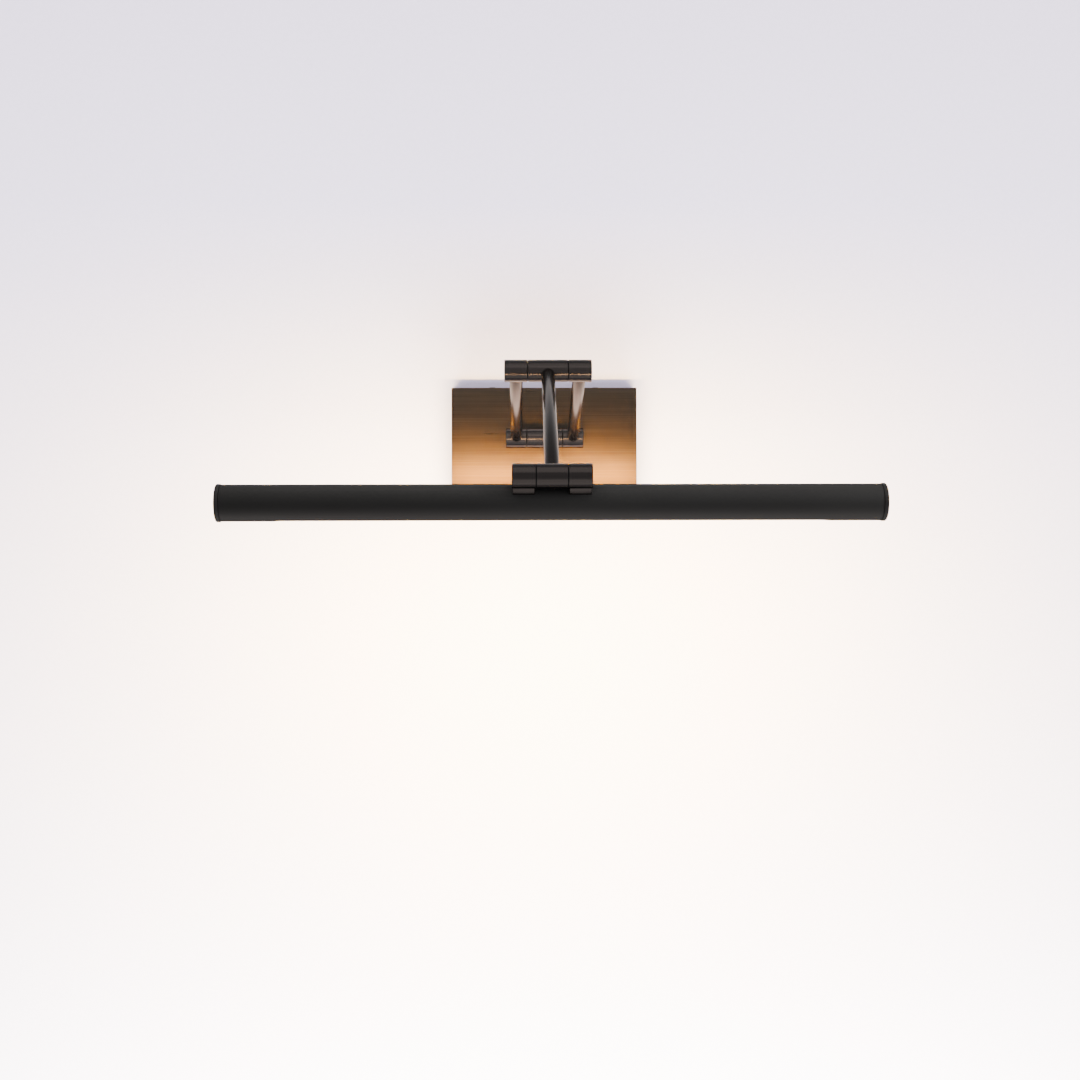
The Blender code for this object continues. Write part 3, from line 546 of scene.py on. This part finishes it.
def box_mesh(name, low, high):
    """A box between two opposite corners."""
    corners = [(x, y, z) for x in (low[0], high[0]) for y in (low[1], high[1]) for z in (low[2], high[2])]
    faces = [(0, 1, 3, 2), (4, 6, 7, 5), (0, 4, 5, 1), (2, 3, 7, 6), (0, 2, 6, 4), (1, 5, 7, 3)]
    return mesh_object(name, corners, faces)


def cover():
    """A hollow box, open to the wall, with holes for the post and four screws."""
    low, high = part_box("back_cover")
    shell = box_mesh("cover_shell", low, high)
    rounded(shell, 0.4 * MM)
    apply_modifiers(shell)
    inside = (high.x - COVER_WALL.x, high.y + 5 * MM, high.z - COVER_WALL.z)
    hollow = box_mesh("cutter", low + COVER_WALL, inside)
    rounded(hollow, 0.6 * MM)
    apply_modifiers(hollow)
    holes = [cylinder(POST_HOLE, -40 * MM, -20 * MM, Matrix.Rotation(-math.pi / 2, 4, "X"))]
    for side in (-1, 1):
        for end in (-1, 1):
            place = Matrix.Translation((side * COVER_SCREW_X, COVER_SCREW_Y, end * high.z))
            holes.append(cylinder(COVER_SCREW_HOLE, -4 * MM, 4 * MM, place, 32))
    cut(shell, hollow, *holes)
    fit(shell, "wall_plate", "bronze", "brushed_bronze", "back_cover")


def cover_screws():
    """Low button-head screws with a hexagon socket."""
    outline = filleted([(0, -SCREW_LENGTH, 0), (SCREW_SHANK, -SCREW_LENGTH, 0.3 * MM), (SCREW_SHANK, 0, 0),
                        (SCREW_HEAD_RADIUS, 0, 0.12 * MM), (SCREW_HEAD_RADIUS, 0.75 * MM, 0.25 * MM),
                        (2.5 * MM, 1.4 * MM, 0.5 * MM), (1.3 * MM, SCREW_HEAD_HEIGHT, 0.1 * MM),
                        (0, SCREW_HEAD_HEIGHT, 0)], closed=False)
    for end, level in ((1, "top"), (-1, "bottom")):
        for word in ("left", "right"):
            node = f"cover_screw_{level}_{word}"
            low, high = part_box(node)
            middle = (low + high) / 2
            seat = (high.z if end > 0 else low.z) - end * SCREW_HEAD_HEIGHT
            turn = Matrix.Rotation(0 if end > 0 else math.pi, 4, "X")
            place = Matrix.Translation((middle.x, middle.y, seat)) @ turn
            screw = turned(f"cover_button_screw_{level}_{word}", outline, place, 64)
            cut(screw, cylinder(SCREW_SOCKET, 0.5 * MM, 3 * MM, place, HEXAGON))
            fit(screw, "wall_plate", "nickel", "black_nickel", node)


def post_outline():
    """The post's stem, flange and threaded end."""
    shoulder = POST_SEAT - POST_FLANGE
    corners = [(0, POST_START, 0), (POST_RADIUS, POST_START, 0), (POST_RADIUS, shoulder, 0.4 * MM),
               (POST_FLANGE_RADIUS, shoulder, 0.5 * MM), (POST_FLANGE_RADIUS, POST_SEAT, 0.2 * MM),
               (THREAD_RADIUS, POST_SEAT, 0)]
    height = POST_SEAT + 0.6 * MM
    while height < POST_END - 1.2 * MM:
        corners += [(THREAD_RADIUS, height, 0), (THREAD_ROOT, height + THREAD_PITCH / 2, 0)]
        height += THREAD_PITCH
    corners += [(THREAD_RADIUS, height, 0), (4.6 * MM, POST_END, 0), (0, POST_END, 0)]
    return filleted(corners, closed=False)


def wall_post():
    """Middle barrel of the wall knuckle, joined to its flanged and threaded post."""
    half = ARM_SEAM - SEAM_HALF
    middle = barrel("wall_barrel_middle", -half, half, wall_at)
    outward = frame_at(wall_at, (0, 1, 0))
    cut(middle, turned("cutter", post_outline(), outward, 72), operation="UNION")
    cut(middle, cylinder(CABLE_BORE, 5.5 * MM, 40 * MM, outward, 40))
    fit(middle, "wall_plate", "nickel_brushed", "black_nickel", "wall_knuckle_middle")


# ---------------------------------------------------------------- lamp head

TUBE_RADIUS = 12.5 * MM
TUBE_BORE = 11.0 * MM
FOOT_HALF_WIDTH = 5.5 * MM
FOOT_TOP = -5.8 * MM
SADDLE_HOLE = 1.9 * MM
SADDLE_HOLE_X = 19.05 * MM
WINDOW_LENGTH = 384 * MM
WINDOW_RADIUS = 10 * MM
CAP_RADIUS = 12.9 * MM
CAP_THICKNESS = 3 * MM
CAP_PLUG = 10.7 * MM
CAP_PLUG_BORE = 9.2 * MM
CAP_SCREW_RISE = 4.5 * MM
CAP_SCREW_RADIUS = 2.7 * MM
CAP_SCREW_SHANK = 1.5 * MM
CAP_SCREW_SOCKET = 1.3 * MM
DIFFUSER_LENGTH = 400 * MM
DIFFUSER_OUTER = 10.7 * MM
DIFFUSER_INNER = 9.2 * MM
DIFFUSER_HALF_ANGLE = math.radians(62)


def lamp_knuckle():
    """Outer barrels with feet whose undersides follow the tube."""
    inner = LAMP_SEAM + SEAM_HALF
    foot_length = LAMP_HALF - LAMP_SEAM - 1.5 * MM
    foot_x = (LAMP_HALF + LAMP_SEAM + 0.5 * MM) / 2
    seat = TUBE_RADIUS + 0.05 * MM
    drop = (lamp_at - tube_at).length
    reach = math.asin(FOOT_HALF_WIDTH / seat)
    arc = [(seat * math.sin(reach * k / 12), seat * math.cos(reach * k / 12) - drop) for k in range(-12, 13)]
    outline = [(-FOOT_HALF_WIDTH, FOOT_TOP), *arc, (FOOT_HALF_WIDTH, FOOT_TOP)]
    for side, word in SIDES:
        piece = outer_barrel(f"lamp_barrel_{word}", side, inner, LAMP_HALF, lamp_at)
        place = frame_at(lamp_at + X_AXIS * side * foot_x, lamp_up)
        foot = rounded_prism("cutter", outline, foot_length, place, 0.35 * MM)
        cut(piece, foot, operation="UNION")
        cut(piece, cylinder(SADDLE_HOLE, -20 * MM, -5.0 * MM, place, 40))
        fit(piece, "lamp_head", "nickel_brushed", "black_nickel", f"lamp_knuckle_{word}")
    pin_hardware("lamp", "lamp_head", LAMP_HALF, LAMP_SEAM, lamp_at)


def stadium_prism(length, radius, low, high, matrix, steps=24):
    """A round-ended slot cutter: length along local X, between two heights of local Z."""
    half = length / 2 - radius
    outline = []
    for side in (1, -1):
        for step in range(steps + 1):
            angle = math.pi * step / steps - side * math.pi / 2
            outline.append((side * half + radius * math.cos(angle), radius * math.sin(angle)))
    vertices = [(x, y, z) for z in (low, high) for x, y in outline]
    return mesh_object("cutter", vertices, prism_faces(len(outline)), matrix)


def lamp_tube():
    """The tube with its round-ended window and the holes for the saddle screws."""
    low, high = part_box("lamp_tube")
    half = (high.x - low.x) / 2
    outline = filleted([(TUBE_BORE, -half, 0.1 * MM), (TUBE_RADIUS, -half, 0.25 * MM),
                        (TUBE_RADIUS, half, 0.25 * MM), (TUBE_BORE, half, 0.1 * MM)], steps=2)
    tube = turned("lamp_housing", outline, along_x(tube_at), 160)
    window = stadium_prism(WINDOW_LENGTH, WINDOW_RADIUS, -20 * MM, 0, tube_frame)
    holes = []
    for side in (-1, 1):
        place = tube_frame @ Matrix.Translation((side * SADDLE_HOLE_X, 0, 0))
        holes.append(cylinder(SADDLE_HOLE, 5 * MM, 15 * MM, place, 32))
    cut(tube, window, *holes)
    rounded(tube, 0.3 * MM, 2, angle=50)
    apply_modifiers(tube, sharp=50)
    fit(tube, "lamp_head", "satin_black", "satin_black", "lamp_tube")


def cap_outline(inner, outer):
    """A hollow plug and a flange with a rounded rim."""
    floor, end = inner - 4 * MM, inner - 5 * MM
    return filleted([(0, floor, 0), (CAP_PLUG_BORE, floor, 0), (CAP_PLUG_BORE, end, 0),
                     (CAP_PLUG, end, 0.3 * MM), (CAP_PLUG, inner, 0), (CAP_RADIUS, inner, 0.3 * MM),
                     (CAP_RADIUS, outer, 0.9 * MM), (0, outer, 0)], closed=False)


def cap_screw_outline(outer):
    """A shank and a flat head a little below the cap's face."""
    end, seat, face = outer - 14 * MM, outer - 1.2 * MM, outer - 0.2 * MM
    return filleted([(0, end, 0), (CAP_SCREW_SHANK, end, 0.3 * MM), (CAP_SCREW_SHANK, seat, 0),
                     (CAP_SCREW_RADIUS, seat, 0), (CAP_SCREW_RADIUS, face, 0.3 * MM), (0, face, 0)],
                    closed=False)


def end_caps():
    """End caps with a recess for a socket-head screw above the tube's axis."""
    for side, word in SIDES:
        low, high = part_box(f"end_cap_{word}")
        outer = max(abs(low.x), abs(high.x)) - tube_at.x * side
        inner = outer - CAP_THICKNESS
        cap = turned(f"lamp_cap_{word}", cap_outline(inner, outer), along_x(tube_at, side), 128)
        place = along_x(tube_at + lamp_up * CAP_SCREW_RISE, side)
        recess = cylinder(3.0 * MM, outer - 1.5 * MM, outer + MM, place, 48)
        cut(cap, recess, cylinder(1.8 * MM, inner - 6 * MM, outer + MM, place, 32))
        fit(cap, "lamp_head", "satin_black", "satin_black", f"end_cap_{word}")
        screw = turned(f"lamp_cap_screw_{word}", cap_screw_outline(outer), place, 48)
        cut(screw, cylinder(CAP_SCREW_SOCKET, outer - 0.9 * MM, outer + MM, place, HEXAGON))
        fit(screw, "lamp_head", "nickel", "black_nickel", f"end_cap_screw_{word}")


def diffuser():
    """Opal strip with a rounded section, closed at both ends."""
    steps = 40
    outline = []
    for radius, order in ((DIFFUSER_OUTER, range(steps + 1)), (DIFFUSER_INNER, range(steps, -1, -1))):
        for step in order:
            angle = DIFFUSER_HALF_ANGLE * (2 * step / steps - 1)
            outline.append((radius * math.sin(angle), -radius * math.cos(angle)))
    piece = rounded_prism("opal_diffuser_strip", outline, DIFFUSER_LENGTH, tube_frame, 0.3 * MM)
    fit(piece, "lamp_head", "diffuser", "opal_diffuser", "diffuser")


def inner_parts():
    """Finishes for the frame's own solids that stay as they are."""
    finishes = {
        "zinc": ("wall_bracket", "post_backing_plate", "post_washer", "driver_screw_left",
                 "driver_screw_right", "saddle_screw_left", "saddle_screw_right"),
        "brass": ("post_nut", "terminal_screw_live", "terminal_screw_neutral", "earth_screw"),
        "white_plastic": ("driver_case", "driver_lid", "terminal_block"),
        "driver_board": ("driver_board",),
        "rubber": ("cable_grommet",),
        "nylon": ("supply_cable", "driver_output_lead", "rear_arm_cable", "front_arm_cable", "lamp_lead"),
        "aluminium": ("led_carrier",),
        "board": ("led_board",),
        "phosphor": ("cob_led_strip",),
    }
    for material, nodes in finishes.items():
        for node in nodes:
            dress(frame["nodes"][node], material)


# ---------------------------------------------------------------- room, light and camera

ROOM_HALF_WIDTH = 4
ROOM_DEPTH = 6
FLOOR_Z = -1.45
CEILING_Z = 2.6
SEEN_WALL_Y = 0.6 * MM
BOUNCE_WALL_Y = 0.8 * MM
COOL = (0.82, 0.71, 1.0)
LED_GLOW = (1.0, 0.64, 0.24)
LED_WINDOW = (0.39, 0.016)


def wall_paint():
    """Matt white wall with a fine roller texture; seen from behind it lets the view through."""
    recipe = Recipe("wall_paint")
    fine = recipe.stretched_noise((260, 260, 260), 4.0, 0.6)
    base = recipe.ramp(fine, (0.79, 0.785, 0.78), (0.82, 0.815, 0.81))
    normal = recipe.bump(fine, 0.12, 0.25 * MM)
    paint = recipe.add("BsdfPrincipled", {"Base Color": base, "Roughness": 0.85, "Normal": normal})
    side = recipe.add("NewGeometry")
    clear = recipe.add("BsdfTransparent")
    mix = recipe.add("MixShader", {0: side.outputs["Backfacing"], 1: paint.outputs[0], 2: clear.outputs[0]})
    return recipe.finish(mix)


def floor_paint():
    """Matt pale floor."""
    recipe = Recipe("floor_paint")
    fine = recipe.stretched_noise((60, 60, 60), 4.0, 0.6)
    base = recipe.ramp(fine, (0.70, 0.70, 0.69), (0.74, 0.74, 0.73))
    return recipe.finish(recipe.add("BsdfPrincipled", {"Base Color": base, "Roughness": 0.8}))


def stage_plane(name, corners, material, camera=True, reflected=True, opening=()):
    """A backdrop plane, with an opening if given, that is seen directly, or lights the object, or both."""
    faces = [(k, (k + 1) % 4, 4 + (k + 1) % 4, 4 + k) for k in range(4)] if opening else [(0, 1, 2, 3)]
    mesh = bpy.data.meshes.new(name)
    mesh.from_pydata([*corners, *opening], [], faces)
    plane = bpy.data.objects.new(name, mesh)
    bpy.context.scene.collection.objects.link(plane)
    plane.data.materials.append(material)
    plane.visible_camera = camera
    plane.visible_glossy = reflected
    plane.visible_diffuse = reflected
    plane.visible_shadow = False
    return plane


def upright(y, half_width, low, high):
    """Corners of an upright rectangle that faces the room."""
    return [(-half_width, y, low), (half_width, y, low), (half_width, y, high), (-half_width, y, high)]


def room():
    """Seen wall and floor, and a second wall that the metal reflects, so that each has its own light."""
    paint = wall_paint()
    corners = upright(SEEN_WALL_Y, ROOM_HALF_WIDTH, FLOOR_Z, CEILING_Z)
    seen = stage_plane("wall", corners, paint, reflected=False)
    corners = upright(BOUNCE_WALL_Y, ROOM_HALF_WIDTH, FLOOR_Z, CEILING_Z)
    behind_cover = upright(BOUNCE_WALL_Y, 79 * MM, -44 * MM, 44 * MM)
    bounce = stage_plane("wall_bounce", corners, paint, camera=False, opening=behind_cover)
    near, far = -ROOM_DEPTH, 0
    corners = [(-ROOM_HALF_WIDTH, near, FLOOR_Z), (ROOM_HALF_WIDTH, near, FLOOR_Z),
               (ROOM_HALF_WIDTH, far, FLOOR_Z), (-ROOM_HALF_WIDTH, far, FLOOR_Z)]
    floor = stage_plane("floor", corners, floor_paint(), reflected=False)
    return seen, bounce, floor


def area_light(name, place, size, power, colour, receivers):
    """A soft light at a matrix, shining along its local -Z onto its receivers only."""
    light = bpy.data.lights.new(name, "AREA")
    light.shape = "RECTANGLE"
    light.size, light.size_y = size
    light.energy = power
    light.color = colour
    item = bpy.data.objects.new(name, light)
    bpy.context.scene.collection.objects.link(item)
    item.matrix_world = place
    item.visible_camera = False
    group = bpy.data.collections.new(f"{name}_receivers")
    for receiver in receivers:
        group.objects.link(receiver)
    item.light_linking.receiver_collection = group


def aimed(location, target):
    """A matrix at a location whose local -Z points at a target."""
    location = Vector(location)
    turn = (Vector(target) - location).to_track_quat("-Z", "Y")
    return Matrix.Translation(location) @ turn.to_matrix().to_4x4()


def room_air():
    """An even, dim light from all sides."""
    world = bpy.data.worlds.new("room_air")
    bpy.context.scene.world = world
    world.use_nodes = True
    background = world.node_tree.nodes["Background"]
    background.inputs["Color"].default_value = (0.97, 0.97, 1.0, 1.0)
    background.inputs["Strength"].default_value = 0.21


def wall_light(wall, floor, window):
    """Studio light and the lamp's glow on the seen wall."""
    area_light("wall_wash", aimed((0, -2.6, 0.6), (0, 0, 0.3)), (3.0, 2.0), 80, COOL, (wall, floor))
    area_light("low_wash", aimed((0, -2.2, -0.9), (0, 0, 0.4)), (3.0, 0.8), 190, COOL, (wall,))
    skirting = aimed((0.05, -0.35, -0.95), (0.05, 0, -0.75))
    area_light("skirting_wash", skirting, (1.2, 0.3), 85, (1.0, 0.95, 0.93), (wall,))
    area_light("lamp_wash", window, LED_WINDOW, 24, LED_GLOW, (wall,))


def cover_light(shell, window):
    """The lamp's glow and the room's light on the cover."""
    area_light("plate_wash", window, LED_WINDOW, 3.0, (1.0, 0.42, 0.0), shell)
    area_light("plate_fill", window, (0.50, 0.16), 0.25, (1.0, 0.95, 0.70), shell)
    area_light("plate_air", aimed((0, -1.6, 0.3), (0, 0, 0)), (2, 2), 1.3, (0.55, 0.95, 1.0), shell)


def bounce_light(bounce):
    """Light on the wall that the metal reflects."""
    near_wall, above_cover = aimed((0, -0.16, -0.05), (0, 0, -0.06)), aimed((0, -0.4, 0.08), (0, 0, 0.08))
    area_light("bounce_wash", near_wall, (0.30, 0.05), 1.5, (1.0, 0.67, 0.50), (bounce,))
    area_light("bounce_fill", above_cover, (0.9, 0.1), 2.2, (0.84, 0.93, 1.0), (bounce,))


def overall_light(objects):
    """Ceiling and floor glow on the whole fixture."""
    above, below = aimed((0, -1.2, 1.3), (0, -0.3, 0)), aimed((0, -1.0, -1.3), (0, -0.3, 0))
    area_light("ceiling_glow", above, (2.5, 1.5), 3.5, (1.0, 0.95, 0.92), objects)
    area_light("floor_glow", below, (2.5, 1.5), 3.5, (1.0, 0.94, 0.90), objects)


def tube_light(painted):
    """Soft light on the tube and its caps from above, below, the side and the front."""
    overhead, underneath = aimed((0, -0.45, 1.3), (0, -0.34, 0)), aimed((0, -0.15, -0.9), (0, -0.34, -0.06))
    beside, ahead = aimed((1.4, -1.0, 0.5), (0.1, -0.3, -0.05)), aimed((0.7, -1.5, 0.1), (0, -0.3, -0.05))
    area_light("tube_top_glow", overhead, (2.0, 0.8), 12, (1.0, 0.97, 0.94), painted)
    area_light("tube_low_glow", underneath, (2.0, 0.3), 10, (1.0, 0.95, 0.93), painted)
    area_light("side_fill", beside, (0.8, 0.8), 10, (0.97, 0.98, 1.0), painted)
    area_light("front_fill", ahead, (2, 2), 3.2, (1.0, 0.99, 0.98), painted)


def metal_light(objects):
    """A light from behind on the cover and its screws, and fills on the barrels."""
    on_plate = [item for item in pieces_on["wall_plate"] if item.name != "wall_barrel_middle"]
    behind = aimed((0.2, 1.3, 0.2), (0, 0, 0))
    area_light("rear_fill", behind, (2.5, 2.5), 14, (1.0, 1.0, 1.0), on_plate)
    ahead = aimed((0, -1.6, -0.1), (0, 0, -0.05))
    wall_barrels = [item for item in objects if item.name.startswith("wall_barrel")]
    area_light("knuckle_fill", ahead, (3, 3), 14, (1.0, 0.84, 0.72), wall_barrels)
    barrels = [item for item in objects if item.name.startswith(("wall_barrel", "elbow_barrel"))]
    area_light("barrel_fill", ahead, (3, 3), 3.0, (1.0, 0.93, 0.90), barrels)


def lighting(wall, bounce, floor):
    """Light the scene; every light but the room's air has its own receivers."""
    by_name = bpy.data.objects
    stage = (wall, bounce, floor)
    objects = [item for item in bpy.context.scene.objects if item.type == "MESH" and item not in stage]
    window = tube_frame @ Matrix.Translation((0, 0, -11.2 * MM))
    room_air()
    wall_light(wall, floor, window)
    cover_light((by_name["cover_shell"],), window)
    bounce_light(bounce)
    overall_light(objects)
    tube_light([by_name[name] for name in ("lamp_housing", "lamp_cap_left", "lamp_cap_right")])
    metal_light(objects)


def camera():
    """The camera at the photograph's distance, height and angle."""
    data = bpy.data.cameras.new("photo_camera")
    data.sensor_width = 36
    data.lens = 52.7
    item = bpy.data.objects.new("photo_camera", data)
    bpy.context.scene.collection.objects.link(item)
    item.location = (-0.0229, -1.392, -0.0867)
    item.rotation_euler = (math.radians(90), math.radians(0.13), math.radians(-0.8))
    bpy.context.scene.camera = item


cover()
cover_screws()
wall_post()
rear_arm()
front_arm()
lamp_knuckle()
lamp_tube()
end_caps()
diffuser()
inner_parts()
lighting(*room())
camera()
